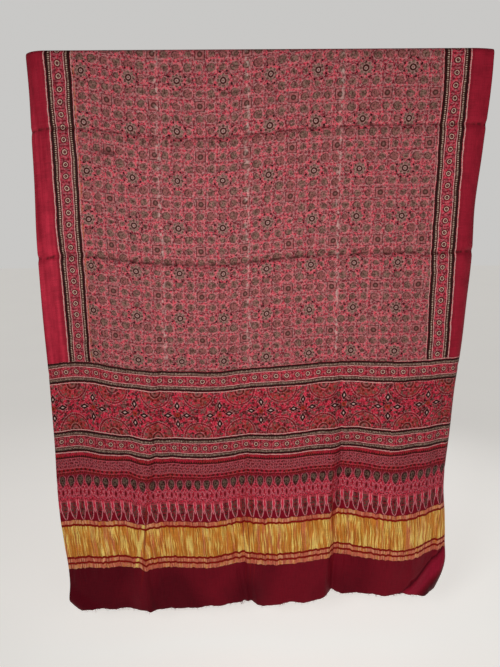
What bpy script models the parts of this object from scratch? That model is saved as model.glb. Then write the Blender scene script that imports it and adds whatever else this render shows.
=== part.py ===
# Ajrakh cloth: one long printed cloth with woven gold bands near its lower end, hung by its top edge.
# It is a single thin sheet in its hanging shape, and its front faces -Y.
# The origin is the middle of the top edge, on the crest where the cloth turns over its hanger.
# Sizes and tables are in millimetres. "Across" runs from the middle, positive to the viewer's right.
# "Down" runs along the cloth, and "drop" is the height below the origin.
import bpy
import numpy as np

MM = 0.001

CLOTH_WIDTH = 1122.0
CLOTH_LENGTH = 1503.0
CLOTH_THICKNESS = 1.2
PLAIN_STRIP = 57.0
PRINT_HALF_WIDTH = CLOTH_WIDTH / 2 - PLAIN_STRIP

# The cloth turns over its hanger on this radius, as far as this angle past the front face.
TOP_TURN_RADIUS = 12.0
TOP_TURN_ANGLE = 120.0

# How far each lengthwise place on the cloth is pulled up at the top edge, so the weft lines sag between.
# across, lift
PULLED_UP = (
    (-561, 17),
    (-490, 26),
    (-421, 25),
    (-308, 9),
    (-198, 1),
    (-84, 1),
    (23, 13),
    (137, 23),
    (246, 27),
    (363, 28),
    (561, 30),
)

# Where the print's outer lines hang at each height, and how far the plain strips beyond them roll back.
# drop, left line, right line, left roll in degrees, right roll in degrees
SELVEDGES = (
    (0, -504, 504, 15, 20),
    (360, -504, 505, 50, 55),
    (600, -504, 506, 45, 95),
    (755, -504, 508, 32, 122),
    (985, -497, 507, 27, 145),
    (1160, -493, 501, 22, 140),
    (1265, -486, 507, 20, 92),
    (1370, -477, 507, 20, 90),
    (1500, -484, 504, 20, 70),
)

# Lengthwise folds, deepest near the hem. Depth is positive towards the viewer.
# name, across at the hem, lean to the right at the top, depth, reach left, reach right, sharpness,
# drop where it starts, drop where it is full, share of the depth at the hem
FOLDS = (
    ("left roll", -462, 0, 27, 150, 190, 1.0, 150, 1250, 1.0),
    ("left ridge", -318, 75, 26, 48, 62, 1.6, 450, 1200, 1.0),
    ("inner valley", -48, 17, -21, 120, 80, 1.5, 400, 1200, 1.0),
    ("middle swell", 78, 10, 11, 90, 130, 1.0, 500, 1200, 1.0),
    ("right valley", 226, -19, -24, 42, 110, 1.4, 600, 1220, 1.3),
    ("right swell", 376, 0, 19, 110, 110, 1.0, 250, 800, 0.2),
    ("right turn", 540, 0, -48, 105, 90, 1.0, 450, 1230, 0.9),
)

# Creases across the cloth from the way it was folded for storage, at an even spacing.
# down, depth
STORAGE_CREASES = (
    (202, -4.0),
    (509, -4.5),
    (816, -2.0),
    (1123, -2.0),
)
CREASE_REACH = 13.0
FLAT_BELOW_TURN = 60.0

# The raw hem is cut straight, but for small waves.
# across, extra length
HEM_WAVES = (
    (-561, 6),
    (-491, 8),
    (-400, 0),
    (-256, 5),
    (-80, -3),
    (5, 12),
    (80, -2),
    (205, -13),
    (230, -3),
    (400, -6),
    (561, -3),
)

# The two bottom corners roll back past a slanting line.
# name, across and drop of a point on the line, outward angle from straight down in degrees, radius
CORNERS = (
    ("left corner", -500, 1440, -37, 30),
    ("right corner", 523, 1375, 40, 58),
)
CORNER_LIP = 9.0
CORNER_LIP_REACH = 34.0

# Columns of faces across the cloth, closer together at the sharp folds and the rolled strips.
# from, to, columns
COLUMNS = (
    (-561, -504, 4),
    (-504, -430, 4),
    (-430, -365, 2),
    (-365, -250, 9),
    (-250, -110, 3),
    (-110, 20, 7),
    (20, 180, 4),
    (180, 260, 6),
    (260, 430, 4),
    (430, 504, 3),
    (504, 561, 5),
)
TURN_ROWS = 4
CREASE_ROWS = 2
ROWS_ABOVE_CREASES = (3, 4, 4, 5)
HEM_ZONE = 100.0
ROWS_ABOVE_HEM_ZONE = 5
HEM_ROWS = 5

MADDER_RED = (0.215, 0.030, 0.040, 1.0)
CLOTH_ROUGHNESS = 0.62


def read_table(rows, column, place):
    """Read a column of a table at any place, on a smooth curve through its rows."""
    places = np.array([row[0] for row in rows], dtype=float)
    values = np.array([row[column] for row in rows], dtype=float)
    slopes = np.gradient(values, places)
    low = np.clip(np.searchsorted(places, place) - 1, 0, len(places) - 2)
    step = places[low + 1] - places[low]
    t = np.clip((place - places[low]) / step, 0.0, 1.0)
    start = values[low] * (2 * t**3 - 3 * t**2 + 1) + slopes[low] * step * (t**3 - 2 * t**2 + t)
    end = values[low + 1] * (3 * t**2 - 2 * t**3) + slopes[low + 1] * step * (t**3 - t**2)
    return start + end


def ease(value, low, high):
    """Go smoothly from 0 at low to 1 at high."""
    t = np.clip((value - low) / (high - low), 0.0, 1.0)
    return t * t * (3 - 2 * t)


def fold_depth(sideways, drop):
    """Depth of the lengthwise folds at a place, positive towards the viewer."""
    depth = np.zeros_like(sideways)
    for _, centre, lean, height, left, right, sharpness, start, full, at_hem in FOLDS:
        middle = centre + lean * (1 - drop / CLOTH_LENGTH)
        t = np.where(sideways < middle, (sideways - middle) / left, (sideways - middle) / right)
        bump = (0.5 + 0.5 * np.cos(np.pi * np.clip(t, -1, 1))) ** sharpness
        share = ease(drop, start, full) * (1 + (at_hem - 1) * ease(drop, full, CLOTH_LENGTH))
        depth += height * bump * share
    return depth


def crease_depth(down):
    """Depth of the storage creases, each a soft trough along the weft."""
    depth = np.zeros_like(down)
    for place, height in STORAGE_CREASES:
        depth += height * (1 - ease(np.abs(down - place), 0, CREASE_REACH))
    return depth


def roll_strips(across, drop, sideways, depth):
    """Roll the plain strip beyond each printed line back on an arc of its own length."""
    for side, column in ((-1, 3), (1, 4)):
        beyond = np.clip(side * across - PRINT_HALF_WIDTH, 0, None)
        turn = np.radians(read_table(SELVEDGES, column, drop))
        radius = PLAIN_STRIP / turn
        sideways = sideways + side * radius * np.sin(beyond / radius)
        depth = depth - radius * (1 - np.cos(beyond / radius))
    return sideways, depth


def roll_corners(sideways, drop, depth):
    """Roll each bottom corner back past its slanting line, with a low lip in front of the line."""
    for _, line_across, line_drop, angle, radius in CORNERS:
        out_across = np.sin(np.radians(angle))
        out_drop = np.cos(np.radians(angle))
        beyond = (sideways - line_across) * out_across + (drop - line_drop) * out_drop
        lip = CORNER_LIP * (1 - ease(np.abs(beyond), 0, CORNER_LIP_REACH))
        beyond = np.clip(beyond, 0, None)
        pulled_in = radius * np.sin(beyond / radius) - beyond
        sideways = sideways + pulled_in * out_across
        drop = drop + pulled_in * out_drop
        depth = depth + lip - radius * (1 - np.cos(beyond / radius))
    return sideways, drop, depth


def hang(across, down, turned):
    """Place points of the flat cloth in the hanging shape. Turned is the angle over the hanger."""
    drop = down - read_table(PULLED_UP, 1, across)
    left_line = read_table(SELVEDGES, 1, drop)
    right_line = read_table(SELVEDGES, 2, drop)
    printed = np.clip(across / PRINT_HALF_WIDTH, -1, 1)
    sideways = (left_line + right_line) / 2 + printed * (right_line - left_line) / 2
    depth = fold_depth(sideways, drop) + crease_depth(down) * ease(drop, TOP_TURN_RADIUS, FLAT_BELOW_TURN)
    sideways, depth = roll_strips(across, drop, sideways, depth)
    sideways, drop, depth = roll_corners(sideways, drop, depth)
    back = -TOP_TURN_RADIUS * np.cos(turned) - depth
    up = TOP_TURN_RADIUS * np.sin(turned) - drop
    return np.stack([sideways, back, up], axis=-1) * MM


def column_places():
    """Across places of the grid's columns, from the left selvedge to the right."""
    places = [COLUMNS[0][0]]
    for start, end, count in COLUMNS:
        places.extend(start + (end - start) * (i + 1) / count for i in range(count))
    return np.array(places, dtype=float)


def row_places(across):
    """Down places of the grid's rows for each column, and how far each row turns over the hanger."""
    lift = read_table(PULLED_UP, 1, across)
    top = lift + TOP_TURN_RADIUS
    hem = CLOTH_LENGTH + read_table(HEM_WAVES, 1, across)
    rows = []
    turned = []
    for i in range(TURN_ROWS):
        rows.append(top)
        turned.append(np.radians(TOP_TURN_ANGLE) * (1 - i / TURN_ROWS))
    start = top
    for (place, _), count in zip(STORAGE_CREASES, ROWS_ABOVE_CREASES):
        rows.extend(start + (place - CREASE_REACH - start) * i / count for i in range(count))
        rows.extend(place - CREASE_REACH + CREASE_REACH * i + 0 * across for i in range(CREASE_ROWS))
        start = place + CREASE_REACH + 0 * across
    stop = hem - HEM_ZONE
    rows.extend(start + (stop - start) * i / ROWS_ABOVE_HEM_ZONE for i in range(ROWS_ABOVE_HEM_ZONE))
    rows.extend(stop + HEM_ZONE * i / HEM_ROWS for i in range(HEM_ROWS + 1))
    turned.extend([0.0] * (len(rows) - TURN_ROWS))
    return np.array(rows), np.array(turned)


def make_material():
    """Dyed silk in the madder red that the whole cloth shows from a distance."""
    material = bpy.data.materials.new("dyed silk")
    material.use_nodes = True
    shader = material.node_tree.nodes["Principled BSDF"]
    shader.inputs["Base Color"].default_value = MADDER_RED
    shader.inputs["Roughness"].default_value = CLOTH_ROUGHNESS
    shader.inputs["Metallic"].default_value = 0.0
    return material


def make_cloth(collection):
    """Shape a grid into the hanging cloth and give it its thickness."""
    across = column_places()
    down, turned = row_places(across)
    bpy.ops.mesh.primitive_grid_add(x_subdivisions=len(across) - 1, y_subdivisions=len(down) - 1, size=2)
    cloth = bpy.context.object
    cloth.name = "cloth"
    cloth.data.name = "cloth"
    for other in list(cloth.users_collection):
        other.objects.unlink(cloth)
    collection.objects.link(cloth)

    points = np.empty(len(cloth.data.vertices) * 3)
    cloth.data.vertices.foreach_get("co", points)
    points = points.reshape(-1, 3)
    column = np.rint((points[:, 0] + 1) / 2 * (len(across) - 1)).astype(int)
    row = np.rint((1 - points[:, 1]) / 2 * (len(down) - 1)).astype(int)
    placed = hang(across[column], down[row, column], turned[row])
    cloth.data.vertices.foreach_set("co", placed.ravel())
    cloth.data.materials.append(make_material())
    cloth.data.shade_smooth()

    shell = cloth.modifiers.new("thickness", "SOLIDIFY")
    shell.thickness = CLOTH_THICKNESS * MM
    shell.offset = 0.0
    shell.use_even_offset = True
    return cloth


for item in list(bpy.data.objects):
    bpy.data.objects.remove(item, do_unlink=True)
parts = bpy.data.collections.new("ajrakh cloth")
bpy.context.scene.collection.children.link(parts)
make_cloth(parts)
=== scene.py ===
import math

import bpy
import numpy as np
from mathutils import Matrix, Vector


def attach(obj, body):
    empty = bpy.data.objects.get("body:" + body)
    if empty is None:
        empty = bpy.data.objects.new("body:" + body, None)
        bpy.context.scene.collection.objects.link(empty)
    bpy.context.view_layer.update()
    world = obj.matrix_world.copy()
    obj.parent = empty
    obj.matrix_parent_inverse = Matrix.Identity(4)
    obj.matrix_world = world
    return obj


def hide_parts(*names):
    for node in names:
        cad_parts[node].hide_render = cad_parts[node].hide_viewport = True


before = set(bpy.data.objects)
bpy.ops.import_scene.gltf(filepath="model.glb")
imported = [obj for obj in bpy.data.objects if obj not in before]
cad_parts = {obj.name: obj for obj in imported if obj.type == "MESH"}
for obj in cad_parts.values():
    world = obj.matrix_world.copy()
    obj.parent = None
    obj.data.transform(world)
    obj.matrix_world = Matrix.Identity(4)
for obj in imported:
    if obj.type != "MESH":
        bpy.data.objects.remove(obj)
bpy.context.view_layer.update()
mm = 0.001
print("frame loaded")


# Camera: worked out from the way the photo's straight edges converge
view = {
    "imageHeight": 667,
    "sensor": 36.0,
    "focalPixels": 560.0,
    "tiltDown": 12.04,
    "roll": 0.35,
    "distance": 1427,     # from the cloth's front face
    "aside": -20,
    "below": 381.5,       # under the top edge
}


def makeCamera():
    data = bpy.data.cameras.new("photoCamera")
    data.sensor_fit = "AUTO"
    data.sensor_width = view["sensor"]
    data.lens = view["sensor"] * view["focalPixels"] / view["imageHeight"]
    camera = bpy.data.objects.new("photoCamera", data)
    bpy.context.scene.collection.objects.link(camera)
    place = (view["aside"] * mm, -(view["distance"] + cloth["topTurnRadius"]) * mm, -view["below"] * mm)
    tilt = Matrix.Rotation(math.radians(90 - view["tiltDown"]), 4, "X")
    roll = Matrix.Rotation(math.radians(-view["roll"]), 4, "Z")
    camera.matrix_world = Matrix.Translation(place) @ tilt @ roll
    bpy.context.scene.camera = camera


# The cloth, in millimetres. Across runs from its middle to the viewer's right, and down runs along it
cloth = {
    "width": 1122,
    "length": 1503,
    "thickness": 0.6,
    "plainStrip": 57,
    "topTurnRadius": 12,
    "topTurnAngle": 120,
    "flatBelowTurn": 60,
    "creaseReach": 13,
    "cornerLip": 9,
    "cornerLipReach": 34,
    # across, lift at the top edge
    "pulledUp": (
        (-561, 17), (-490, 26), (-421, 25), (-308, 9), (-198, 1), (-84, 1),
        (23, 13), (137, 23), (246, 27), (363, 28), (561, 30),
    ),
    # drop, left line, right line, left roll, right roll
    "selvedges": (
        (0, -504, 508, 53, 20),
        (110, -504, 507, 55, 24),
        (220, -503, 504, 44, 37),
        (360, -504, 503, 33, 57),
        (480, -504, 503, 17, 52),
        (600, -504, 505, 5, 64),
        (755, -504, 508, 5, 80),
        (870, -501, 508, 5, 101),
        (985, -497, 507, 5, 105),
        (1160, -493, 501, 9, 92),
        (1265, -486, 507, 18, 72),
        (1370, -477, 507, 16, 64),
        (1500, -484, 504, 20, 72),
    ),
    # drop, then where five folds run: left ridge, inner valley, right valley, left roll, right swell
    "foldLines": (
        (0, -243, -16, 196, -390, 345),
        (500, -258, -20, 210, -385, 345),
        (800, -275, -26, 224, -378, 348),
        (1040, -298, -38, 233, -400, 365),
        (1226, -316, -48, 226, -425, 386),
        (1370, -324, -48, 222, -440, 390),
        (1500, -310, -26, 217, -455, 390),
    ),
    # name, place across (or the column of foldLines that it follows and how far beside), depth,
    # reach left, reach right, sharpness, drops where it starts and is full, share of the depth at the hem
    "folds": (
        ("left roll", (4, 0), 17, 85, 105, 1.0, 250, 780, 0.0),
        ("left fall", -545, -18, 110, 170, 1.0, 350, 760, 0.0),
        ("left swell", -445, 32, 230, 160, 1.0, 780, 1240, 1.1),
        ("left ridge", (1, -8), 29, 60, 84, 1.2, 450, 1210, 0.8),
        ("inner valley", (2, 0), -21, 120, 80, 1.5, 400, 1200, 1.0),
        ("middle swell", 82, 10, 90, 110, 1.0, 500, 1200, 1.0),
        ("right valley", (3, 0), -26, 36, 110, 1.3, 600, 1220, 1.1),
        ("right swell", (5, 0), 22, 90, 85, 1.0, 250, 1230, 0.0),
        ("right turn", 540, -48, 105, 90, 1.0, 450, 1230, 0.9),
        ("left crease", (1, 3), 5, 16, 8, 1.1, 700, 1150, 0.8),
        ("beside left crease", (1, 18), -7, 9, 22, 1.2, 250, 1150, 1.0),
        ("first pleat", (2, -15), -3.5, 8, 8, 1.0, 900, 1230, 1.0),
        ("second pleat", (2, -3), 2.5, 7, 7, 1.0, 1000, 1230, 1.0),
        ("third pleat", (2, 8), -4.5, 8, 8, 1.0, 300, 1230, 0.8),
        ("fourth pleat", (2, 24), 2.0, 8, 8, 1.0, 900, 1230, 1.0),
        ("right crease", (3, -3), -4, 9, 14, 1.2, 300, 1200, 1.0),
    ),
    # down, depth
    "storageCreases": ((200, -5.0), (507, -5.5), (816, -2.5), (1123, -2.0)),
    # across, extra length
    "hemWaves": (
        (-561, -14), (-538, -5), (-500, -5), (-450, -1), (-390, 2), (-340, 0), (-275, 3), (-226, 1),
        (-140, -9), (-90, -7), (-42, -4), (-4, 8), (30, 3), (70, -8), (140, 1), (205, -12), (230, -5),
        (290, -18), (357, -11), (420, -16), (465, -5), (561, 5),
    ),
    # name, across and drop of a point on the slanting line, outward angle, radius
    "corners": (
        ("left corner", -509, 1462, -37, 30),
        ("right corner", 538, 1400, 55, 50),
    ),
    # Small creases from one place to another: across, down, across, down, depth, reach
    "smallCreases": (
        (-400, 247, -345, 255, -4.0, 9),
        (544, 1371, 438, 1450, -5.0, 10),
        (438, 1450, 408, 1500, -5.0, 10),
        (-430, 351, -345, 338, 2.6, 6),
        (-424, 356, -350, 345, -2.2, 7),
        (-400, 463, -355, 455, 2.4, 6),
        (-396, 469, -358, 462, -2.0, 6),
        (-556, 178, -500, 176, -2.0, 8),
        (-556, 214, -512, 210, -2.5, 8),
        (-537, 20, -529, 215, 2.5, 12),
        (-522, 60, -518, 230, -1.8, 9),
    ),
    # A tuck in the gold bands draws the cloth up on its left and lets it down on its right
    "tuck": {
        "across": -322,
        "down": 1227,
        "lean": -0.16,
        "crossing": (-5, 8),
        "lift": 9,
        "liftFades": (8, 52),
        "dip": 5,
        "dipFades": (14, 80),
        "grows": (1180, 1360),
        "ends": (1395, 1475),
    },
    # The raw edge wavers where threads have come away: height, then how short each wave is
    "raggedBeat": (0.9, 3.1, 17.3),
    "raggedWave": (1.1, 9.7),
    # from, to, columns
    "columns": (
        (-561, -504, 15), (-504, -430, 12), (-430, -365, 12), (-365, -250, 32), (-250, -110, 22),
        (-110, 20, 38), (20, 180, 24), (180, 260, 24), (260, 430, 26), (430, 504, 12), (504, 561, 19),
    ),
    "turnRows": 8,
    "creaseRows": 8,
    "rowsAboveCreases": (22, 30, 30, 34),
    "hemZone": 100,
    "rowsAboveHemZone": 34,
    "hemRows": 16,
}
printHalf = cloth["width"] / 2 - cloth["plainStrip"]


def readTable(rows, column, place):
    places = np.array([row[0] for row in rows], dtype=float)
    values = np.array([row[column] for row in rows], dtype=float)
    slopes = np.gradient(values, places)
    low = np.clip(np.searchsorted(places, place) - 1, 0, len(places) - 2)
    step = places[low + 1] - places[low]
    t = np.clip((place - places[low]) / step, 0.0, 1.0)
    start = values[low] * (2 * t**3 - 3 * t**2 + 1) + slopes[low] * step * (t**3 - 2 * t**2 + t)
    end = values[low + 1] * (3 * t**2 - 2 * t**3) + slopes[low + 1] * step * (t**3 - t**2)
    return start + end


def ease(value, low, high):
    t = np.clip((value - low) / (high - low), 0.0, 1.0)
    return t * t * (3 - 2 * t)


def foldDepth(sideways, drop):
    depth = np.zeros_like(sideways)
    for _, place, height, left, right, sharpness, start, full, atHem in cloth["folds"]:
        middle = place
        if isinstance(place, tuple):
            middle = readTable(cloth["foldLines"], place[0], drop) + place[1]
        t = np.where(sideways < middle, (sideways - middle) / left, (sideways - middle) / right)
        bump = (0.5 + 0.5 * np.cos(np.pi * np.clip(t, -1, 1))) ** sharpness
        share = ease(drop, start, full) * (1 + (atHem - 1) * ease(drop, full, cloth["length"]))
        depth += height * bump * share
    return depth


def creaseDepth(down):
    depth = np.zeros_like(down)
    for place, height in cloth["storageCreases"]:
        depth += height * (1 - ease(np.abs(down - place), 0, cloth["creaseReach"]))
    return depth


def smallCreaseDepth(across, down):
    depth = np.zeros_like(across)
    for fromAcross, fromDown, toAcross, toDown, height, reach in cloth["smallCreases"]:
        runAcross, runDown = toAcross - fromAcross, toDown - fromDown
        along = (across - fromAcross) * runAcross + (down - fromDown) * runDown
        along = np.clip(along / (runAcross**2 + runDown**2), 0, 1)
        away = np.hypot(across - fromAcross - along * runAcross, down - fromDown - along * runDown)
        depth += height * (1 - ease(away, 0, reach))
    return depth


# The metal weft is stiffer than the silk, so the gold bands pucker the cloth around them
pucker = {
    "from": 1215,
    "to": 1385,
    "fade": 45,
    "height": 0.9,
    # wavelength across, lean, phase
    "waves": ((17.0, 0.06, 0.3), (11.3, -0.05, 1.9), (27.0, 0.03, 4.2)),
    # the waves wander: swing in radians, then how short it is
    "wander": (1.4, 83),
    "sway": (0.8, 21, 37),
    "calmHeight": 0.55,
    # wavelength across, wavelength down, phase
    "calmWaves": ((143.0, 610.0, 0.4), (97.0, -390.0, 2.2), (61.0, 270.0, 5.1), (310.0, 230.0, 1.1)),
}


def puckerDepth(across, down):
    near = ease(down, pucker["from"] - pucker["fade"], pucker["from"])
    near = near * (1 - ease(down, pucker["to"], pucker["to"] + pucker["fade"]))
    depth = np.zeros_like(across)
    swing, slow = pucker["wander"]
    sway, tallSway, wideSway = pucker["sway"]
    for length, lean, phase in pucker["waves"]:
        wander = swing * np.sin(across / slow + phase)
        wander += sway * np.sin(down / tallSway + across / wideSway)
        wave = np.sin(2 * np.pi * (across + lean * down) / length + wander + phase)
        depth += near * pucker["height"] * wave
    for wide, tall, phase in pucker["calmWaves"]:
        depth += pucker["calmHeight"] * np.sin(2 * np.pi * (across / wide + down / tall) + phase)
    return depth


def tuckLift(across, down):
    tuck = cloth["tuck"]
    beside = across - tuck["across"] - tuck["lean"] * (down - tuck["down"])
    crossed = ease(beside, *tuck["crossing"])
    lift = (1 - crossed) * tuck["lift"] * (1 - ease(-beside, *tuck["liftFades"]))
    lift -= crossed * tuck["dip"] * (1 - ease(beside, *tuck["dipFades"]))
    return lift * ease(down, *tuck["grows"]) * (1 - ease(down, *tuck["ends"]))


def rollStrips(across, drop, sideways, depth):
    for side, column in ((-1, 3), (1, 4)):
        beyond = np.clip(side * across - printHalf, 0, None)
        radius = cloth["plainStrip"] / np.radians(readTable(cloth["selvedges"], column, drop))
        sideways = sideways + side * radius * np.sin(beyond / radius)
        depth = depth - radius * (1 - np.cos(beyond / radius))
    return sideways, depth


def rollCorners(sideways, drop, depth):
    for _, lineAcross, lineDrop, angle, radius in cloth["corners"]:
        outAcross, outDrop = math.sin(math.radians(angle)), math.cos(math.radians(angle))
        beyond = (sideways - lineAcross) * outAcross + (drop - lineDrop) * outDrop
        lip = cloth["cornerLip"] * (1 - ease(np.abs(beyond), 0, cloth["cornerLipReach"]))
        beyond = np.clip(beyond, 0, None)
        pulledIn = radius * np.sin(beyond / radius) - beyond
        sideways = sideways + pulledIn * outAcross
        drop = drop + pulledIn * outDrop
        depth = depth + lip - radius * (1 - np.cos(beyond / radius))
    return sideways, drop, depth


def hang(across, down, turned):
    drop = down - readTable(cloth["pulledUp"], 1, across) - tuckLift(across, down)
    leftLine = readTable(cloth["selvedges"], 1, drop)
    rightLine = readTable(cloth["selvedges"], 2, drop)
    printed = np.clip(across / printHalf, -1, 1)
    sideways = (leftLine + rightLine) / 2 + printed * (rightLine - leftLine) / 2
    small = creaseDepth(down) + smallCreaseDepth(across, down) + puckerDepth(across, down)
    depth = foldDepth(sideways, drop)
    depth += small * ease(drop, cloth["topTurnRadius"], cloth["flatBelowTurn"])
    sideways, depth = rollStrips(across, drop, sideways, depth)
    sideways, drop, depth = rollCorners(sideways, drop, depth)
    back = -cloth["topTurnRadius"] * np.cos(turned) - depth
    up = cloth["topTurnRadius"] * np.sin(turned) - drop
    return np.stack([sideways, back, up], axis=-1) * mm


def hemPlace(across):
    beat, short, long = cloth["raggedBeat"]
    wave, middling = cloth["raggedWave"]
    ragged = beat * np.sin(across / short) * np.sin(across / long + 1)
    ragged += wave * np.sin(across / middling + 2)
    return cloth["length"] + readTable(cloth["hemWaves"], 1, across) + ragged


def gridPlaces():
    across = [cloth["columns"][0][0]]
    for start, end, count in cloth["columns"]:
        across.extend(start + (end - start) * (i + 1) / count for i in range(count))
    across = np.array(across, dtype=float)
    same = 0 * across
    top = readTable(cloth["pulledUp"], 1, across) + cloth["topTurnRadius"]
    hem = hemPlace(across)
    turnRows = cloth["turnRows"]
    rows = [top] * turnRows
    turned = [math.radians(cloth["topTurnAngle"]) * (1 - i / turnRows) for i in range(turnRows)]
    start = top
    reach = cloth["creaseReach"]
    steps = cloth["creaseRows"]
    for (place, _), count in zip(cloth["storageCreases"], cloth["rowsAboveCreases"]):
        rows.extend(start + (place - reach - start) * i / count for i in range(count))
        rows.extend(place - reach + 2 * reach * i / steps + same for i in range(steps))
        start = place + reach + same
    stop = hem - cloth["hemZone"]
    count = cloth["rowsAboveHemZone"]
    rows.extend(start + (stop - start) * i / count for i in range(count))
    rows.extend(stop + cloth["hemZone"] * i / cloth["hemRows"] for i in range(cloth["hemRows"] + 1))
    turned.extend([0.0] * (len(rows) - turnRows))
    return across, np.array(rows), np.array(turned)


def deselectAll():
    for item in bpy.context.selected_objects:
        item.select_set(False)


def makeCloth():
    across, down, turned = gridPlaces()
    deselectAll()
    bpy.ops.mesh.primitive_grid_add(x_subdivisions=len(across) - 1, y_subdivisions=len(down) - 1, size=2)
    piece = bpy.context.object
    piece.name = "ajrakhCloth"
    mesh = piece.data
    points = np.empty(len(mesh.vertices) * 3)
    mesh.vertices.foreach_get("co", points)
    points = points.reshape(-1, 3)
    column = np.rint((points[:, 0] + 1) / 2 * (len(across) - 1)).astype(int)
    row = np.rint((1 - points[:, 1]) / 2 * (len(down) - 1)).astype(int)
    mesh.vertices.foreach_set("co", hang(across[column], down[row, column], turned[row]).ravel())

    # a place on the flat cloth for every corner, in millimetres, which the print follows
    flatDown = down[row, column] - cloth["topTurnRadius"] * turned[row]
    flat = np.stack([across[column], flatDown], axis=-1)
    corners = np.empty(len(mesh.loops), dtype=np.int32)
    mesh.loops.foreach_get("vertex_index", corners)
    while mesh.uv_layers:
        mesh.uv_layers.remove(mesh.uv_layers[0])
    places = mesh.uv_layers.new(name="clothPlaces")
    places.data.foreach_set("uv", flat[corners].ravel())

    shell = piece.modifiers.new("thickness", "SOLIDIFY")
    shell.thickness = cloth["thickness"] * mm
    shell.offset = 0.0
    shell.use_even_offset = True
    bpy.ops.object.modifier_apply(modifier=shell.name)
    piece.data.shade_smooth()
    return piece


# Clear the nodes of a material or world, and give one small function that adds any node.
# A kind in capitals is an operation of the Math node, and a setting with a capital is a socket
def nodeMaker(owner):
    owner.use_nodes = True
    tree = owner.node_tree
    tree.nodes.clear()

    def put(kind, *values, **settings):
        isMath = kind.isupper()
        node = tree.nodes.new("ShaderNodeMath" if isMath else "ShaderNode" + kind)
        if isMath:
            node.operation = kind
        for name, value in settings.items():
            if name[0].islower():
                setattr(node, name, value)
        sockets = [socket for socket in node.inputs if socket.enabled]
        given = list(zip(sockets, values))
        named = {name: value for name, value in settings.items() if name[0].isupper()}
        given += [(node.inputs[name.replace("_", " ")], value) for name, value in named.items()]
        for socket, value in given:
            if isinstance(value, bpy.types.NodeSocket):
                tree.links.new(value, socket)
            else:
                socket.default_value = value
        return next((socket for socket in node.outputs if socket.enabled), None)

    return put


def hexColour(text):
    values = [int(text[i:i + 2], 16) / 255 for i in (0, 2, 4)]
    return tuple(c / 12.92 if c <= 0.04045 else ((c + 0.055) / 1.055) ** 2.4 for c in values) + (1.0,)


# The dyes of a resist-printed silk: madder red over everything, iron black, and pale lines where resist
# kept the dye out. The zari colours are those of its metal thread, with painted glints and painted shade
# among them. The hem and the left strip also carry painted sheen, painted highlight and painted shade
dyes = {
    "fieldRed": "8a2233",
    "brightRed": "cc4454",
    "deepRed": "5a0d18",
    "panelRed": "8c1324",
    "panelBright": "c42840",
    "rose": "8c4a4a",
    "rosePink": "b45e68",
    "lilac": "b07c7a",
    "pinkLine": "d8868c",
    "pale": "cfaaa0",
    "cream": "c4aa96",
    "olive": "644a40",
    "oliveLight": "82675a",
    "ink": "38120f",
    "black": "200b0b",
    "rust": "8e2c1a",
    "stripRed": "901a2c",
    # painted sheen of the plain strip
    "stripLight": "b42a3e",
    "hemMaroon": "540212",
    # the hem's maroon, then painted sheen, painted highlight and painted shade for it
    "hemSheen": "700a1c",
    "hemLight": "9c1834",
    "hemShade": "26000a",
    "orange": "b4623a",
    "toothGround": "76061a",
    "worn": "cdb2a8",
    # zari colours: the metal's tones, with a painted glint and painted shade among them
    "zariGold": "dc8c38",
    "zariBright": "fedc7c",
    "zariYellow": "e4a640",
    "zariBrown": "b06c24",
    "zariRose": "d87258",
    "zariRoseBright": "f2b088",
    "zariRoseDark": "a23e34",
    "zariGround": "84100a",
}

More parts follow.
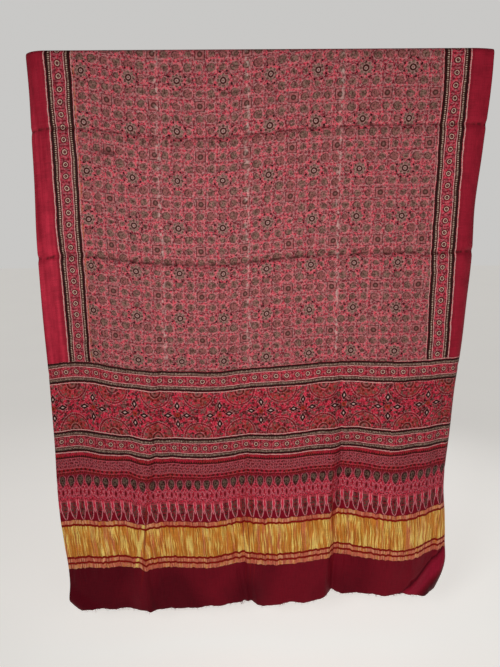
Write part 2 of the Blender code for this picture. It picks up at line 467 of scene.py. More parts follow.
# The print's places and sizes, in millimetres on the flat cloth. A pair is where a thing begins and ends
plan = {
    "pitchAcross": 112,
    "pitchDown": 115,
    "firstStar": (-417, 71),
    "fieldSlant": (0.0155, 0.000016),   # its blocks drift left as they go down, more so on the right
    "discRadius": 6.9,
    "starDots": 21.8,
    "borderDeep": 64.5,
    "blocks": (-40.0, 196.0),   # first end, length
    "panelTop": 787.5,
    "panelMiddle": 910.8,
    # middle of each border across the end panel, and of the one down each side
    "borderOne": 816.8,
    "borderTwo": 1006.2,
    "sideBorder": 33.3,
    "rosettePhase": -0.8,
    "panelScale": 0.94,   # the panel's blocks are a little smaller than the sides'
    "medallions": (847.0, 974.0),
    "firstRound": -499.5,
    "beadRing": 41.0,
    "crossArm": 25.5,
    "crossDots": 9.5,
    "fineRows": 1038.5,
    "finePitch": 12.4,
    "triangles": (1043.5, 1051.0),
    "leafRows": (1053.0, 1080.0),
    "leafLines": ((1057.0, 0.0, 0.8), (1065.3, 6.2, -0.8), (1073.6, 0.0, 0.8)),   # middle, shift, slant
    "fineLines": ((1052.6, 0.8), (1061.2, 0.35), (1069.4, 0.35), (1079.8, 0.8)),   # place, strength
    "lozenges": 1084.6,
    "spotLine": 1088.8,
    "spots": 1093.2,
    "dropZone": 1096.5,
    "drops": (1100.5, 27.5, 24.8, -271.3),   # top, height, pitch, first
    "stems": (1134.0, 1162.0),
    "stemLines": (1138.5, 1153.5),
    "kites": 1143.0,
    "ovals": 1146.5,
    "teeth": (1161.0, 1226.0),
    "teethShow": 1168.0,
    "redLine": 1171.0,
    "toothLeaves": (1172.0, 1182.0, 1202.0),   # top, widest, end
    "toothWaist": 1190.0,
    "plainZone": 1225.6,
    "zariOne": (1227.3, 1238.8),
    "zariBroad": (1245.0, 1334.4),
    "zariThree": (1340.6, 1351.2),
    "zariFour": (1357.4, 1370.6),
    "wornLines": (-242, -24, 202),   # where the cloth was folded lengthwise in store
    # painted shade along the storage creases
    "creaseShadeLines": ((201.0, 5.0), (509.0, 7.0)),   # down, width
    # painted shade beside a small crease
    "smallCreaseShade": (-372, 251, 30, 8),   # across, down, half width, half height
    "strayDye": 68.5,
    # painted shade in the folds of the lower end, as dark lines, and one painted highlight on a ridge:
    # across where the lines start, lean, width
    "pleatLinesAt": 1227.0,
    "pleatShadeSpan": (1120.0, 1372.0),
    "pleatPaintedShade": (
        (-322, -0.16, 3.6), (-55, 0.02, 2.6), (-39, 0.0, 3.0), (-24, -0.02, 2.2), (206, 0.0, 4.6),
    ),
    "pleatPaintedHighlight": (-326, -0.26, 9.0),
    "cornerCrease": (544, 1371, 0.63, 0.775),   # a place on it, then which way is outward
}


def makePrintedSilk():
    # Modal silk, resist and block printed, with woven bands of flat metal thread.
    # The silk has a low sheen, and the metal glitters where its crinkles catch the light
    material = bpy.data.materials.new("blockPrintedModalSilk")
    put = nodeMaker(material)
    dye = {name: hexColour(value) for name, value in dyes.items()}

    def within(distance, edge, blur=0.7):
        return put("MULTIPLY_ADD", distance, -1 / blur, edge / blur + 0.5, use_clamp=True)

    def past(value, start, blur=0.7):
        return put("MULTIPLY_ADD", value, 1 / blur, 0.5 - start / blur, use_clamp=True)

    def away(value, centre):
        return put("ABSOLUTE", put("SUBTRACT", value, centre))

    def stroke(distance, centre, width, blur=0.7):
        return within(away(distance, centre), width / 2, blur)

    def span(value, limits, blur=0.7):
        return stroke(value, sum(limits) / 2, limits[1] - limits[0], blur)

    def repeat(value, pitch, phase=0.0):
        return put("WRAP", put("SUBTRACT", value, phase), pitch / 2, -pitch / 2)

    def apart(x, y):
        return put("VectorMath", put("CombineXYZ", x, y), operation="LENGTH")

    def every(*amounts):
        product = amounts[0]
        for amount in amounts[1:]:
            product = put("MULTIPLY", product, amount)
        return product

    # lay dyes or other layers over what is there, one after another, each as far as its amounts allow
    def layers(under, *rows):
        for over, *amounts in rows:
            under = put("Mix", every(*amounts), under, dye.get(over, over), data_type="RGBA")
        return under

    # noise over the flat cloth: swings to the millimetre across and down, then how fine it goes
    def grain(where, across, down, detail):
        place = put("VectorMath", where, (across, down, 1.0), operation="MULTIPLY")
        return put("TexNoise", noise_dimensions="2D", Vector=place, Scale=1.0, Detail=detail)

    flat = put("UVMap", uv_map="clothPlaces")
    half = (0.5, 0.5, 0.5)

    # Blocks are set down by hand, so lines waver by a millimetre and edges of the resist are rough
    moved = flat
    for scale, reach in ((0.012, 5.0), (0.06, 2.2), (0.36, 2.0)):
        noise = grain(flat, scale, scale, 1.0).node.outputs["Color"]
        shift = put("VectorMath", noise, half, operation="SUBTRACT")
        moved = put("VectorMath", shift, (reach, reach, 0.0), moved, operation="MULTIPLY_ADD")
    split = put("SeparateXYZ", moved).node.outputs
    x, y = split["X"], split["Y"]
    trueX, trueY = put("SeparateXYZ", flat).node.outputs[:2]
    patches = grain(flat, 0.03, 0.03, 3.0)
    mottle = grain(flat, 0.085, 0.085, 3.0)
    specks = grain(flat, 0.25, 0.25, 1.0)
    flecks = grain(put("VectorMath", flat, (311.0, 97.0, 0.0), operation="ADD"), 0.20, 0.20, 2.0)
    broken = past(flecks, 0.46, 0.22)
    darkSpecks = past(specks, 0.60, 0.10)
    paleFlecks = past(flecks, 0.66, 0.14)

    # resist lines take unevenly
    def patchy(share, least):
        return put("MULTIPLY_ADD", broken, share, least)

    # Small leaves and dots fill the ground: cells some 6 mm across, with resist lines between
    cells = put("TexVoronoi", voronoi_dimensions="2D", Vector=moved, Scale=0.165, Randomness=0.9)
    chanceOne, chanceTwo = put("SeparateXYZ", cells.node.outputs["Color"]).node.outputs[:2]
    cellEdge = put(
        "TexVoronoi", voronoi_dimensions="2D", feature="DISTANCE_TO_EDGE",
        Vector=moved, Scale=0.165, Randomness=0.9,
    )
    cellLine = every(within(cellEdge, 0.075, 0.09), broken)

    bright = put("MULTIPLY_ADD", mottle, 1.15, put("MULTIPLY", chanceOne, 0.36))
    ground = layers(
        dye["fieldRed"],
        ("brightRed", past(bright, 0.82, 0.16), 0.9),
        ("deepRed", within(bright, 0.62, 0.12), 0.85),
        ("rose", past(chanceTwo, 0.72, 0.1), 0.6),
        ("lilac", cellLine, 0.42),
        ("lilac", paleFlecks, 0.5),
        ("ink", darkSpecks, 0.8),
    )

    # Field: a lattice of quarter repeats, with discs on its nodes
    stepAcross, stepDown = plan["pitchAcross"] / 4, plan["pitchDown"] / 4
    slant, fan = plan["fieldSlant"]
    starAcross, starDown = plan["firstStar"]
    fieldY = put("SUBTRACT", y, starDown)
    drift = put("MULTIPLY_ADD", x, fan, slant)
    fieldX = put("MULTIPLY_ADD", fieldY, drift, put("SUBTRACT", x, starAcross))
    nodeX = put("ROUND", put("DIVIDE", fieldX, stepAcross))
    nodeY = put("ROUND", put("DIVIDE", fieldY, stepDown))
    bothOdd = every(put("FLOORED_MODULO", nodeX, 2), put("FLOORED_MODULO", nodeY, 2))
    starRow = put("LESS_THAN", put("FLOORED_MODULO", nodeY, 4), 0.5)
    chance = put("TexWhiteNoise", put("CombineXYZ", nodeX, nodeY), noise_dimensions="2D")
    localX = put("MULTIPLY_ADD", nodeX, -stepAcross, fieldX)
    localY = put("MULTIPLY_ADD", nodeY, -stepDown, fieldY)
    fromNode = put("MULTIPLY_ADD", mottle, 5.0, put("SUBTRACT", apart(localX, localY), 2.5))

    halfX = put("ABSOLUTE", repeat(fieldX, stepAcross, stepAcross / 2))
    halfY = put("ABSOLUTE", repeat(fieldY, stepDown, stepDown / 2))
    fromHalf = apart(halfX, halfY)
    longer, shorter = put("MAXIMUM", halfX, halfY), put("MINIMUM", halfX, halfY)
    # discs differ in size: larger at the middle of each repeat, smaller in the rows of stars
    size = put("MULTIPLY_ADD", bothOdd, 1.3, put("MULTIPLY_ADD", chance, 1.6, plan["discRadius"]))
    size = put("MULTIPLY_ADD", starRow, -1.6, size)
    fromEdge = put("SUBTRACT", fromNode, size)
    # the black was printed a little to the left of the resist
    beside = apart(put("ADD", localX, 2.6), localY)
    beside = within(put("SUBTRACT", beside, size), 0.4, 1.6)
    discFill = layers(
        dye["olive"],
        ("oliveLight", past(mottle, 0.49, 0.2), 0.85),
        ("rose", past(chance, 0.78, 0.1), 0.6),
        ("rosePink", past(flecks, 0.60, 0.16), 0.5),
        ("lilac", starRow, paleFlecks, 0.6),
        ("ink", past(specks, 0.58, 0.16), 0.75),
    )
    field = layers(
        ground,
        ("lilac", stroke(put("SUBTRACT", longer, shorter), 1.7, 1.3, 1.0), broken, 0.6),
        ("lilac", stroke(fromHalf, 4.8, 1.4, 1.0), broken, 0.6),
        ("deepRed", within(fromHalf, 2.6, 1.2), 0.45),
        ("ink", within(apart(put("SUBTRACT", longer, 9.6), shorter), 1.6, 1.0), 0.8),
        ("lilac", stroke(fromNode, 13.2, 1.4, 1.0), broken, 0.6),
        ("lilac", stroke(fromEdge, 2.2, 1.5, 1.0), patchy(0.55, 0.3)),
        ("ink", beside, put("MULTIPLY_ADD", past(chance, 0.45, 0.3), 0.6, 0.25)),
        (discFill, within(fromEdge, 0.2, 2.2), 0.92),
        ("ink", within(fromNode, 3.0, 3.0), within(chance, 0.5, 0.3), 0.55),
    )

    # Squares at the middle of each repeat
    squareX = put("ABSOLUTE", repeat(fieldX, stepAcross * 4, stepAcross * 2))
    squareY = put("ABSOLUTE", repeat(fieldY, stepDown * 4, stepDown * 2))
    fromBox = put("MAXIMUM", squareX, squareY)
    fromSquare = apart(squareX, squareY)
    boxFill = layers(dye["rose"], ("lilac", past(flecks, 0.56, 0.2), 0.5))
    field = layers(
        field,
        ("lilac", stroke(fromBox, 14.0, 1.8, 1.0), patchy(0.6, 0.1)),
        ("ink", stroke(fromBox, 11.6, 2.2, 1.4), 0.8),
        (boxFill, within(fromBox, 10.2, 1.0)),
        ("ink", within(fromSquare, 6.8, 1.6), 0.9),
        ("olive", within(fromSquare, 3.8, 1.4), 0.8),
        ("rosePink", within(fromSquare, 1.4, 1.4), 0.35),
    )

    # Stars with eight petals and eight outlying dots
    starX = repeat(fieldX, stepAcross * 4)
    starY = repeat(fieldY, stepDown * 4)
    fromStar = apart(starX, starY)
    turn = put("ARCTAN2", starY, starX)
    lobes = put("COSINE", put("MULTIPLY", turn, 8))
    petalEdge = put("SUBTRACT", fromStar, put("MULTIPLY_ADD", lobes, 1.6, 14.6))
    petalInk = layers(
        dye["olive"],
        ("ink", past(specks, 0.52, 0.2)),
        ("oliveLight", past(flecks, 0.52, 0.2), 0.8),
    )
    gaps = past(put("MULTIPLY", lobes, -1.0), 0.7, 0.4)
    dotTurn = put("MULTIPLY", repeat(turn, math.pi / 4, math.pi / 8), plan["starDots"])
    fromDot = apart(put("SUBTRACT", fromStar, plan["starDots"]), dotTurn)
    field = layers(
        field,
        (ground, within(fromStar, 23.0, 2.5)),
        ("lilac", stroke(petalEdge, 3.9, 1.5, 1.0), broken, 0.7),
        ("lilac", within(petalEdge, 1.2, 1.2), patchy(0.5, 0.25)),
        (petalInk, within(petalEdge, -0.4, 1.0)),
        ("lilac", gaps, within(petalEdge, -0.5, 1.2), 0.5),
        ("lilac", stroke(fromStar, 8.8, 1.2, 1.0), 0.6),
        ("ink", within(fromStar, 7.9, 1.4)),
        ("pale", stroke(fromStar, 3.0, 1.8, 1.4), 0.6),
        ("rose", within(fromStar, 1.6, 1.2)),
        ("black", within(fromDot, 2.4, 1.2)),
    )

    # Borders: the same block runs down both sides and twice across the end panel
    fromSide = put("SUBTRACT", printHalf, put("ABSOLUTE", x))
    inPanel = past(y, plan["panelTop"])
    firstEnd, blockLong = plan["blocks"]
    block = put("FLOOR", put("DIVIDE", put("SUBTRACT", x, firstEnd), blockLong))
    block = put("TexWhiteNoise", block, noise_dimensions="1D")
    second = put("GREATER_THAN", y, plan["panelMiddle"])
    middle = put("MULTIPLY_ADD", second, plan["borderTwo"] - plan["borderOne"], plan["borderOne"])
    # no two blocks meet quite in line
    middle = put("MULTIPLY_ADD", block, 2.4, put("SUBTRACT", middle, 1.2))
    panelOff = put("DIVIDE", put("SUBTRACT", y, middle), plan["panelScale"])
    sideOff = put("SUBTRACT", fromSide, plan["sideBorder"])
    off = put("ABSOLUTE", put("Mix", inPanel, sideOff, panelOff, data_type="FLOAT"))
    along = put("Mix", inPanel, y, put("MULTIPLY_ADD", x, 1.0305, 10.1), data_type="FLOAT")
    blockTook = put("MULTIPLY_ADD", block, 0.5, 0.4)
    borderRed = layers(dye["fieldRed"], ("panelRed", inPanel))
    betweenAlong = put("ABSOLUTE", repeat(along, stepDown, stepDown / 2 + plan["rosettePhase"]))
    leafSpot = apart(betweenAlong, put("SUBTRACT", off, 7.5))
    fromRosette = apart(off, repeat(along, stepDown, plan["rosettePhase"]))
    ringDark = put("MULTIPLY_ADD", inPanel, -0.15, 0.9)
    # a ladder of resist dots: round beads down the sides, thin rungs across the panel
    beads = put("Mix", inPanel, repeat(along, 4.6), repeat(along, 3.7), data_type="FLOAT")
    rung = put("SUBTRACT", put("ABSOLUTE", beads), put("MULTIPLY_ADD", inPanel, -0.65, 1.25))
    reach = put("SUBTRACT", away(off, 20.8), put("MULTIPLY_ADD", inPanel, 1.1, 1.7))
    border = layers(
        borderRed,
        ("panelBright", past(bright, 0.80, 0.25), blockTook),
        ("deepRed", within(bright, 0.60, 0.10), 0.8),
        ("rosePink", past(flecks, 0.56, 0.24), 0.5),
        ("deepRed", darkSpecks, 0.8),
        ("deepRed", within(leafSpot, 3.0, 1.8), 0.8),
        ("lilac", stroke(betweenAlong, 2.8, 1.2), within(off, 10.0), broken, 0.6),
        ("lilac", stroke(fromRosette, 10.2, 1.2, 1.0), patchy(0.5, 0.05)),
        ("ink", stroke(fromRosette, 6.8, 2.6, 1.8), ringDark),
        ("cream", stroke(fromRosette, 4.7, 1.7, 1.2), 0.9),
        ("ink", within(fromRosette, 3.7, 1.2)),
        ("rosePink", within(fromRosette, 1.1, 1.0), 0.8),
        ("pale", stroke(off, 14.8, 1.7), 0.7),
        ("ink", span(off, (15.9, 29.4), 1.0)),
        ("deepRed", stroke(off, 17.4, 1.4, 1.0), 0.6),
        ("black", span(off, (23.8, 28.6), 1.6), 0.75),
        ("cream", within(rung, 0.0, 0.8), within(reach, 0.0, 0.9), patchy(0.55, 0.35)),
        ("pale", stroke(off, 31.6, 2.0), 0.75),
    )

    # Medallions: half rounds along both edges of the band, four-petalled crosses between them
    medTop, medEnd = plan["medallions"]
    fromBandEdge = put("MINIMUM", put("SUBTRACT", y, medTop + 1), put("SUBTRACT", medEnd - 1, y))
    roundX = put("MULTIPLY", repeat(x, plan["pitchAcross"], plan["firstRound"]), 1.05)
    fromRound = apart(roundX, fromBandEdge)
    roundTurn = put("ARCTAN2", fromBandEdge, roundX)
    band = layers(
        dye["panelRed"],
        ("panelBright", past(bright, 0.80, 0.14), 0.9),
        ("ink", within(chanceOne, 0.33, 0.12), 0.85),
        ("olive", past(chanceTwo, 0.84, 0.1), 0.8),
        ("rosePink", cellLine, 0.5),
        ("pinkLine", paleFlecks, 0.5),
        ("ink", darkSpecks, 0.7),
    )
    roundFill = layers(band, ("rust", past(patches, 0.46, 0.2), 0.5))
    # a double ring of resist lines with black beads between
    beadRing = plan["beadRing"]
    arcBead = put("MULTIPLY", repeat(roundTurn, math.pi / 22), beadRing)
    arcBead = apart(put("SUBTRACT", fromRound, beadRing), arcBead)
    petals = put("COSINE", put("MULTIPLY", roundTurn, 10))
    leafEdge = put("SUBTRACT", fromRound, put("MULTIPLY_ADD", petals, 3.8, 26.5))
    firstCross = plan["firstRound"] - plan["pitchAcross"] / 2
    crossX = put("ABSOLUTE", repeat(x, plan["pitchAcross"], firstCross))
    crossY = away(y, plan["panelMiddle"])
    armLong, armShort = put("MAXIMUM", crossX, crossY), put("MINIMUM", crossX, crossY)
    lozenge = put("MULTIPLY_ADD", away(armLong, plan["crossArm"]), 0.6, armShort)
    fromCross = apart(crossX, crossY)
    armTip = apart(put("MULTIPLY", put("SUBTRACT", armLong, plan["crossArm"]), 0.5), armShort)
    dots = plan["crossDots"]
    fromDots = apart(put("SUBTRACT", crossX, dots), put("SUBTRACT", crossY, dots))
    band = layers(
        band,
        (roundFill, within(fromRound, 37)),
        ("panelRed", stroke(fromRound, beadRing, 5.0, 1.2), 0.6),
        ("ink", within(arcBead, 1.7, 1.0), 0.85),
        ("lilac", stroke(fromRound, beadRing + 3.2, 1.2), patchy(0.6, 0.2)),
        ("lilac", stroke(fromRound, beadRing - 3.2, 1.2), patchy(0.6, 0.1)),
        ("rosePink", stroke(leafEdge, 1.0, 1.3, 1.0), patchy(0.6, 0.1)),
        ("ink", within(away(fromRound, 22), 3.2, 1.4), past(petals, 0.5, 0.4), 0.85),
        ("olive", within(away(fromRound, 32), 2.6, 1.4), within(petals, -0.5, 0.4), 0.9),
        ("lilac", stroke(fromRound, 15.8, 1.3, 1.0), patchy(0.6, 0.15)),
        ("ink", stroke(fromRound, 12.4, 3.8, 1.8), 0.85),
        ("olive", within(fromRound, 9.6, 2.0), past(specks, 0.46, 0.2)),
        ("rosePink", stroke(fromRound, 7.6, 1.3, 1.0), 0.5),
        ("ink", within(fromRound, 3.4, 1.6), 0.9),
        ("lilac", stroke(lozenge, 8.6, 1.4), patchy(0.6, 0.25)),
        ("deepRed", within(lozenge, 7.8)),
        ("black", within(lozenge, 6.7, 1.0)),
        ("pale", within(armTip, 1.8, 1.2), 0.85),
        ("black", within(fromDots, 2.6, 1.2)),
        ("rust", within(fromCross, 6.2, 2.0), 0.9),
        ("ink", within(fromCross, 2.2)),
    )

    # Fine rows: small triangles, rows of little leaves, a row of lozenges, a line and a row of spots
    finePitch = plan["finePitch"]
    spotX = repeat(x, finePitch / 2, finePitch / 4)
    triangle = put("SUBTRACT", y, plan["triangles"][0])
    triangle = put("MULTIPLY_ADD", triangle, -0.55, put("ABSOLUTE", spotX))
    leafRows = span(y, plan["leafRows"], 2.0)
    fine = layers(
        dye["panelRed"],
        ("panelBright", past(mottle, 0.5, 0.2), 0.4),
        ("rust", past(patches, 0.5, 0.2), 0.4),
        ("ink", darkSpecks, 0.7),
        ("ink", span(y, plan["triangles"], 1.0), within(triangle, 0.4, 1.2)),
        ("rose", leafRows, patchy(0.5, 0.1)),
    )
    for line, shift, slant in plan["leafLines"]:
        slanted = put("MULTIPLY_ADD", put("SUBTRACT", y, line), slant, x)
        leafX = put("ABSOLUTE", repeat(slanted, finePitch, shift))
        leaf = put("ADD", put("MULTIPLY", leafX, 0.75), away(y, line))
        fine = layers(
            fine,
            ("deepRed", within(leaf, 4.4, 1.2), put("MULTIPLY_ADD", specks, 0.8, 0.35)),
            ("rosePink", stroke(leaf, 5.0, 1.3, 1.0), patchy(0.6, 0.15)),
            ("ink", within(leaf, 3.0, 1.8), past(mottle, 0.50, 0.12)),
            ("rosePink", within(leaf, 1.8, 1.2), past(flecks, 0.50, 0.12)),
            ("ink", stroke(leaf, 6.2, 1.4, 1.2), darkSpecks, 0.9),
        )
    for line, strength in plan["fineLines"]:
        fine = layers(fine, ("rosePink", stroke(y, line, 1.2), strength))
    acrossRow = put("ABSOLUTE", repeat(x, finePitch, finePitch / 2))
    lozengeRow = put("ADD", acrossRow, put("MULTIPLY", away(y, plan["lozenges"]), 1.1))
    fromSpot = apart(spotX, put("SUBTRACT", y, plan["spots"]))
    fine = layers(
        fine,
        ("ink", within(lozengeRow, 4.6, 1.4), 0.9),
        ("rosePink", stroke(y, plan["spotLine"], 1.2), broken, 0.8),
        ("ink", within(fromSpot, 2.6, 1.4), 0.75),
    )

    # Drops hang in a row, each over a small oval and a long tooth
    dropTop, dropHigh, dropPitch, firstDrop = plan["drops"]
    dropX = put("ABSOLUTE", repeat(x, dropPitch, firstDrop))
    gapX = put("ABSOLUTE", repeat(x, dropPitch, firstDrop + dropPitch / 2))
    lower = layers(
        dye["panelBright"],
        ("brightRed", past(mottle, 0.53, 0.16), 0.6),
        ("panelRed", past(specks, 0.48, 0.2)),
        ("rosePink", past(flecks, 0.56, 0.2), 0.55),
        ("ink", darkSpecks, 0.7),
        ("deepRed", within(y, 1114.0, 14.0), 0.8),
    )

    # an egg is round above and drawn out below: down from its top, height, sharpness, width
    def fromEgg(top, high, sharp, wide):
        along = put("DIVIDE", put("SUBTRACT", y, top), high, use_clamp=True)
        egg = every(put("POWER", along, 0.42), put("POWER", put("SUBTRACT", 1.0, along), sharp))
        return put("MULTIPLY_ADD", egg, -wide, dropX)

    dropEdge = fromEgg(dropTop, dropHigh, 0.66, 16.6)
    outerEdge = fromEgg(dropTop - 2.8, dropHigh + 8.0, 0.72, 21.4)
    inDrops = span(y, (dropTop - 3.0, dropTop + dropHigh + 5.4))
    dropInk = layers(
        dye["ink"],
        ("olive", past(mottle, 0.46, 0.2)),
        ("black", past(specks, 0.56, 0.2)),
    )
    fromHeart = apart(dropX, put("MULTIPLY", put("SUBTRACT", y, dropTop + 10.5), 0.8))
    # filigree: stems between the drops, ovals under them
    stems = every(span(y, plan["stems"]), patchy(0.6, 0.25))
    lower = layers(
        lower,
        ("rosePink", inDrops, within(outerEdge, 0.5), 0.9),
        ("deepRed", inDrops, within(outerEdge, -1.0)),
        (dropInk, span(y, (dropTop, dropTop + dropHigh)), within(dropEdge, 0.0, 1.0)),
        ("oliveLight", stroke(fromHeart, 3.8, 1.0), 0.6),
        ("rosePink", stems, stroke(dropX, 6.6, 1.4, 1.0)),
    )
    for line in plan["stemLines"]:
        lower = layers(lower, ("rosePink", stems, stroke(y, line, 1.2, 1.0), 0.8))
    oval = apart(dropX, put("MULTIPLY", put("SUBTRACT", y, plan["ovals"]), 0.36))
    kite = put("MULTIPLY_ADD", away(y, plan["kites"]), 0.36, gapX)
    lower = layers(
        lower,
        ("rosePink", stroke(oval, 4.3, 1.4, 1.0), 0.75),
        ("panelRed", within(oval, 3.6, 1.2)),
        ("ink", within(oval, 1.9, 1.6), 0.85),
        ("pinkLine", stroke(kite, 4.6, 1.2), broken, 0.7),
        ("panelRed", within(kite, 3.2)),
    )

    # Teeth: long arches with round ends on plain dark red, with a small leaf between each pair
    toothTop, toothEnd = plan["teeth"]
    along = put("DIVIDE", put("SUBTRACT", y, toothTop), toothEnd - toothTop, use_clamp=True)
    arch = put("POWER", put("SUBTRACT", 1.0, put("POWER", along, 3.4)), 0.62)
    waist = within(away(y, plan["toothWaist"]), 4.0, 10.0)
    archHalf = put("MULTIPLY_ADD", arch, 8.7, put("MULTIPLY", waist, 1.7))
    toothEdge = put("SUBTRACT", dropX, archHalf)
    toothGround = layers(dye["toothGround"], ("panelBright", within(y, 1186, 40.0), 0.7))
    outline = put("MULTIPLY_ADD", within(y, 1176, 20.0), -0.3, 1.0)
    toothInk = layers(
        dye["deepRed"],
        ("ink", past(specks, 0.50, 0.2)),
        ("olive", past(mottle, 0.50, 0.2), 0.7),
        ("panelRed", past(flecks, 0.56, 0.14)),
    )
    leafTop, leafMiddle, leafEnd = plan["toothLeaves"]
    leaf = put("MULTIPLY_ADD", away(y, leafMiddle), 0.20, gapX)
    tooth = layers(
        toothGround,
        ("brightRed", within(y, 1180, 8.0), past(mottle, 0.42, 0.3)),
        ("pinkLine", within(toothEdge, 0.8, 0.9), outline, 0.85),
        (toothInk, within(toothEdge, -1.0, 0.9)),
        ("rosePink", stroke(toothEdge, -4.0, 1.0), within(y, 1198, 10.0), 0.3),
        ("pinkLine", stroke(leaf, 4.2, 1.3, 0.9), span(y, (leafTop, leafEnd), 4.0), 0.8),
        ("panelBright", within(leaf, 3.4)),
    )
    lower = layers(
        lower,
        (tooth, past(y, plan["teethShow"], 4.0)),
        ("brightRed", stroke(y, plan["redLine"], 3.0, 1.5), 0.5),
    )

    # Gold bands: flat metal weft over silk, drawn up into fine upright crinkles
    bent = grain(flat, 0.03, 0.03, 1.0).node.outputs["Color"]
    bent = put("VectorMath", bent, half, operation="SUBTRACT")
    upright = put("VectorMath", bent, (6.0, 0.0, 0.0), flat, operation="MULTIPLY_ADD")
    crinkle = grain(upright, 0.34, 0.011, 3.0)
    swathe = grain(upright, 0.055, 0.014, 2.0)
    stripe = grain(upright, 0.13, 0.002, 2.0)
    # painted glints where the crinkles and swathes run high, painted shade where the crinkles dip
    goldPaintedGlint = past(put("MULTIPLY_ADD", swathe, 0.55, crinkle), 0.85, 0.12)
    goldPaintedShade = within(crinkle, 0.40, 0.14)
    # each crinkle draws the band's edge up or lets it down a little
    puckered = grain(flat, 0.085, 0.01, 1.0)
    zariY = put("MULTIPLY_ADD", puckered, 5.5, put("SUBTRACT", trueY, 2.75))
    gold = layers(
        dye["zariGold"],
        ("zariYellow", past(swathe, 0.54, 0.16), 0.8),
        ("zariRose", within(stripe, 0.38, 0.08), 0.7),
        ("zariBrown", goldPaintedShade, 0.75),
        ("zariBright", goldPaintedGlint, 0.95),
    )
    rose = layers(
        dye["zariRose"],
        ("zariRoseDark", goldPaintedShade, 0.7),
        ("zariGold", past(swathe, 0.55, 0.1), 0.7),
        ("zariRoseBright", goldPaintedGlint, 0.85),
    )

    # Put the zones together from the top down
    nearWorn = away(x, plan["wornLines"][0])
    for place in plan["wornLines"][1:]:
        nearWorn = put("MINIMUM", nearWorn, away(x, place))
    rubbed = grain(flat, 0.12, 0.07, 3.0)
    # painted shade in an oval beside a small crease on the left
    shadeSpotX, shadeSpotY, shadeSpotWide, shadeSpotTall = plan["smallCreaseShade"]
    smallCreaseShade = put("MULTIPLY_ADD", x, 1 / shadeSpotWide, -shadeSpotX / shadeSpotWide)
    smallCreaseShade = apart(smallCreaseShade, put("MULTIPLY_ADD", y, 1 / shadeSpotTall, -shadeSpotY / shadeSpotTall))
    stray = stroke(fromSide, plan["strayDye"], 2.4, 2.0)
    streaks = grain(flat, 0.07, 0.003, 1.0)
    strip = layers(
        dye["stripRed"],
        # streaks of painted sheen on the left strip, below its top
        ("stripLight", past(streaks, 0.5, 0.4), within(x, 0.0), past(y, 140.0, 160.0)),
        ("deepRed", within(patches, 0.42, 0.3), 0.3),
        # painted shade along the strip's inner edge, beside the border
        ("deepRed", stroke(fromSide, -3.0, 3.0, 8.0), 0.45),
    )
    above = layers(
        field,
        ("worn", within(nearWorn, 4.5, 8.0), past(rubbed, 0.58, 0.12), 0.5),
        ("ink", within(smallCreaseShade, 0.8, 0.7), 0.6),
        ("orange", within(x, 0.0), stray, past(patches, 0.48, 0.12), 0.7),
        (border, within(fromSide, plan["borderDeep"] + 0.6, 0.3)),
        (strip, within(fromSide, 0.0, 0.3)),
    )
    zones = (
        (medTop, band),
        (medEnd, border),
        (plan["fineRows"], fine),
        (plan["dropZone"], lower),
        (plan["plainZone"], "toothGround"),
    )
    whole = layers(above, (border, inPanel))
    for start, layer in zones:
        whole = layers(whole, (layer, past(y, start)))
    bandsFrom, bandsTo = plan["zariOne"][1] - 1.0, plan["zariFour"][0] + 1.0
    shine = grain(flat, 0.006, 0.004, 1.0)
    # the right corner turns under along a crease: a dark line of painted shade, a band of painted
    # highlight, then painted shade
    creaseX, creaseY, outX, outY = plan["cornerCrease"]
    turnedIn = put("MULTIPLY", put("SUBTRACT", x, creaseX), outX)
    turnedIn = put("MULTIPLY_ADD", put("SUBTRACT", y, creaseY), outY, turnedIn)
    cornerShine = put("MULTIPLY_ADD", shine, 0.8, 0.3)
    hem = layers(
        dye["hemMaroon"],
        # painted sheen on the hem, in patches, lighter towards the right
        ("hemSheen", past(put("MULTIPLY_ADD", x, 0.0004, shine), 0.5, 0.3)),
        ("hemLight", span(turnedIn, (6.0, 40.0), 12.0), cornerShine),
        ("hemShade", stroke(turnedIn, 0.0, 4.0, 6.0), 0.75),
        ("hemShade", past(turnedIn, 52.0, 14.0), 0.7),
    )
    broad = span(zariY, plan["zariBroad"], 1.0)
    thin = put("ADD", span(zariY, plan["zariOne"], 1.0), span(zariY, plan["zariThree"], 1.0))
    thin = put("ADD", thin, span(zariY, plan["zariFour"], 1.0), use_clamp=True)
    metal = put("ADD", broad, thin, use_clamp=True)
    whole = layers(
        whole,
        (hem, past(zariY, bandsTo)),
        ("zariGround", span(zariY, (bandsFrom, bandsTo), 1.0)),
        (gold, broad),
        (rose, thin),
    )

    # Pleats: a painted highlight on the metal of a ridge, and dark lines of painted shade in the folds
    below = put("SUBTRACT", trueY, plan["pleatLinesAt"])
    pleatX, pleatLean, pleatWide = plan["pleatPaintedHighlight"]
    fromPleat = put("MULTIPLY_ADD", below, -pleatLean, put("SUBTRACT", trueX, pleatX))
    whole = layers(whole, ("zariBright", metal, stroke(fromPleat, 0.0, pleatWide, 4.0), 0.9))
    for place, lean, wide in plan["pleatPaintedShade"]:
        fromLine = put("MULTIPLY_ADD", below, -lean, put("SUBTRACT", trueX, place))
        inPleatShade = stroke(fromLine, 0.0, wide, wide * 0.8)
        whole = layers(whole, ("zariGround", inPleatShade, span(trueY, plan["pleatShadeSpan"], 160.0), 0.8))

    # Painted shade in the storage creases, in blotches
    creaseShadeBlotches = grain(flat, 0.045, 0.02, 2.0)
    for place, wide in plan["creaseShadeLines"]:
        whole = layers(whole, ("ink", stroke(y, place, wide, 5.0), past(creaseShadeBlotches, 0.47, 0.2), 0.8))

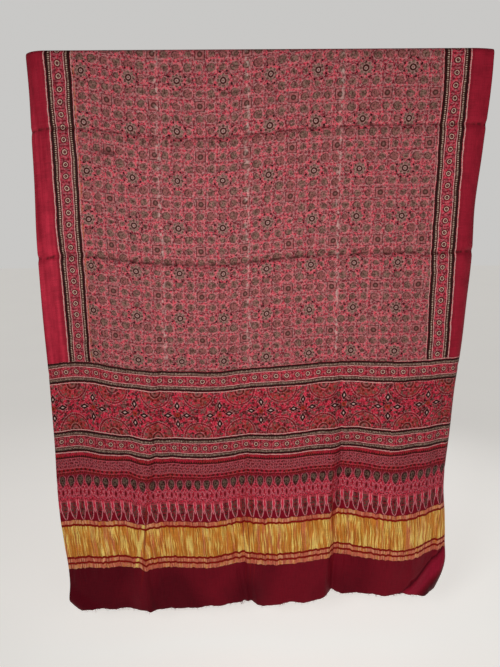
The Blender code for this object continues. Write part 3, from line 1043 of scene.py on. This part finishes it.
    # Weave: threads are finer than a render shows, so they are drawn at 1.6 mm as faint slubs
    warp = grain(flat, 0.62, 0.03, 1.0)
    weft = grain(flat, 0.03, 0.62, 1.0)
    weave = put("ADD", warp, weft)
    slubs = put("MULTIPLY", weave, 0.35)
    relief = put("Mix", metal, slubs, put("MULTIPLY", crinkle, 6.0), data_type="FLOAT")
    bump = put("Bump", Strength=1.0, Distance=mm, Height=relief)
    shade = put("MULTIPLY_ADD", weave, 0.4, 0.6)
    shade = put("CombineXYZ", shade, shade, shade)
    whole = put("Mix", 1.0, whole, shade, data_type="RGBA", blend_type="MULTIPLY")

    surface = put(
        "BsdfPrincipled",
        Base_Color=whole,
        Metallic=put("MULTIPLY", metal, 0.5),
        Roughness=put("MULTIPLY_ADD", metal, -0.16, 0.56),
        Normal=bump,
        Specular_IOR_Level=0.06,
        Sheen_Weight=0.03,
        Sheen_Roughness=0.4,
        Sheen_Tint=(0.8, 0.2, 0.2, 1.0),
    )
    put("OutputMaterial", surface)
    return material


# Loose ends of thread along the raw hem, in millimetres
fray = {
    "seed": 11,
    "threads": 230,
    "reach": 552,
    "sections": 3,
    "rooted": 1.5,
    "waver": 0.6,
    "bunched": 4.0,
    "thick": 0.45,
    "long": (2.0, 8.0),
    "sideways": 5.0,
    "tangles": ((-58, 14, 13.0), (-262, 8, 9.0), (392, 8, 9.0)),   # across, threads, length
}


def makeHemFray():
    chance = np.random.default_rng(fray["seed"])
    sections, rooted = fray["sections"], fray["rooted"]
    starts = list(chance.uniform(-fray["reach"], fray["reach"], fray["threads"]))
    lengths = list(chance.uniform(*fray["long"], fray["threads"]))
    for place, count, length in fray["tangles"]:
        starts.extend(chance.normal(place, fray["bunched"], count))
        lengths.extend(chance.uniform(0.4, 1.0, count) * length)
    data = bpy.data.curves.new("hemFray", "CURVE")
    data.dimensions = "3D"
    data.bevel_depth = fray["thick"] / 2 * mm
    data.bevel_resolution = 0
    for start, length in zip(starts, lengths):
        lean = chance.uniform(-1, 1) * fray["sideways"]
        thread = data.splines.new("POLY")
        thread.points.add(sections)
        for i, point in enumerate(thread.points):
            across = np.array([start + lean * (i / sections) ** 1.5])
            down = hemPlace(np.array([start])) - rooted + (length + rooted) * i / sections
            place = hang(across, down, np.zeros(1))[0]
            aside = chance.uniform(-fray["waver"], fray["waver"]) * i * mm
            point.co = (place[0], place[1] + aside, place[2], 1.0)
    piece = bpy.data.objects.new("hemFray", data)
    bpy.context.scene.collection.objects.link(piece)
    deselectAll()
    piece.select_set(True)
    bpy.context.view_layer.objects.active = piece
    bpy.ops.object.convert(target="MESH")
    return bpy.context.object


# A plain material whose colour strays a little from the first one to the second
def makeUneven(name, colours, scale, **looks):
    material = bpy.data.materials.new(name)
    put = nodeMaker(material)
    place = put("TexCoord").node.outputs["Object"]
    uneven = put("TexNoise", Vector=place, Scale=scale, Detail=2.0)
    tone = put("Mix", uneven, *map(hexColour, colours), data_type="RGBA")
    put("OutputMaterial", put("BsdfPrincipled", Base_Color=tone, **looks))
    return material


def makeThreadSilk():
    # Single dyed filaments: no weave left, so only a soft sheen and a little unevenness of the dye
    colours = (dyes["hemMaroon"], dyes["panelRed"])
    return makeUneven("looseSilkThread", colours, 60.0, Roughness=0.5, Sheen_Weight=0.1)


stage = {
    "floorBelow": 1620,
    "size": 24000,
    "paint": "e6e4e1",
    "coat": "f2f0ec",
    "glowColour": "f6f3ee",
    "glow": 0.48,
}


def makeFloorBoard():
    # Matt painted board, plain and pale but for a faint unevenness in the coat.
    # It glows a little, as a floor does that light reaches from all round a white studio
    return makeUneven(
        "mattFloorBoard",
        (stage["paint"], stage["coat"]),
        2.0,
        Roughness=0.85,
        Emission_Color=hexColour(stage["glowColour"]),
        Emission_Strength=stage["glow"],
    )


def makeFloor():
    deselectAll()
    place = (0, 0, -stage["floorBelow"] * mm)
    bpy.ops.mesh.primitive_plane_add(size=stage["size"] * mm, location=place)
    floor = bpy.context.object
    floor.name = "floor"
    floor.data.materials.append(makeFloorBoard())


# Soft boxes with grids: name, place and aim in metres, size, watts, spread in degrees
lights = (
    ("keyLight", (-0.55, -1.40, -0.35), (0.22, 0.0, -0.50), 0.5, 6.4, 120),
    ("fillLight", (0.65, -1.50, -0.50), (0.12, 0.0, -0.50), 0.9, 2.96, 120),
    ("backLight", (0.5, 1.90, -0.20), (0.0, 0.0, -0.80), 1.2, 8.59, 140),
)
# The room around: dim as a light, pale to look at
room = {"light": 0.17, "shown": 0.60, "tint": (0.97, 0.96, 0.94, 1.0)}


def makeLights():
    for name, place, target, size, watts, spread in lights:
        data = bpy.data.lights.new(name, "AREA")
        data.shape = "SQUARE"
        data.size = size
        data.energy = watts
        data.spread = math.radians(spread)
        lamp = bpy.data.objects.new(name, data)
        lamp.visible_camera = False
        bpy.context.scene.collection.objects.link(lamp)
        aim = (Vector(target) - Vector(place)).to_track_quat("-Z", "Y")
        lamp.matrix_world = Matrix.Translation(place) @ aim.to_matrix().to_4x4()
    world = bpy.data.worlds.new("studio")
    put = nodeMaker(world)
    seen = put("LightPath").node.outputs["Is Camera Ray"]
    strength = put("MULTIPLY_ADD", seen, room["shown"] - room["light"], room["light"])
    put("OutputWorld", put("Background", room["tint"], strength))
    bpy.context.scene.world = world
    bpy.context.scene.view_settings.view_transform = "Standard"


makeCamera()
print("camera set")
silk = makePrintedSilk()
print("printed silk mixed,", len(silk.node_tree.nodes), "nodes")
sheet = makeCloth()
sheet.data.materials.clear()
sheet.data.materials.append(silk)
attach(sheet, "root")
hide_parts("cloth")
frayed = makeHemFray()
frayed.data.materials.append(makeThreadSilk())
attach(frayed, "root")
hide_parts("cloth")
print("cloth hung,", len(sheet.data.polygons), "faces")
makeFloor()
makeLights()
print("stage and lights set")
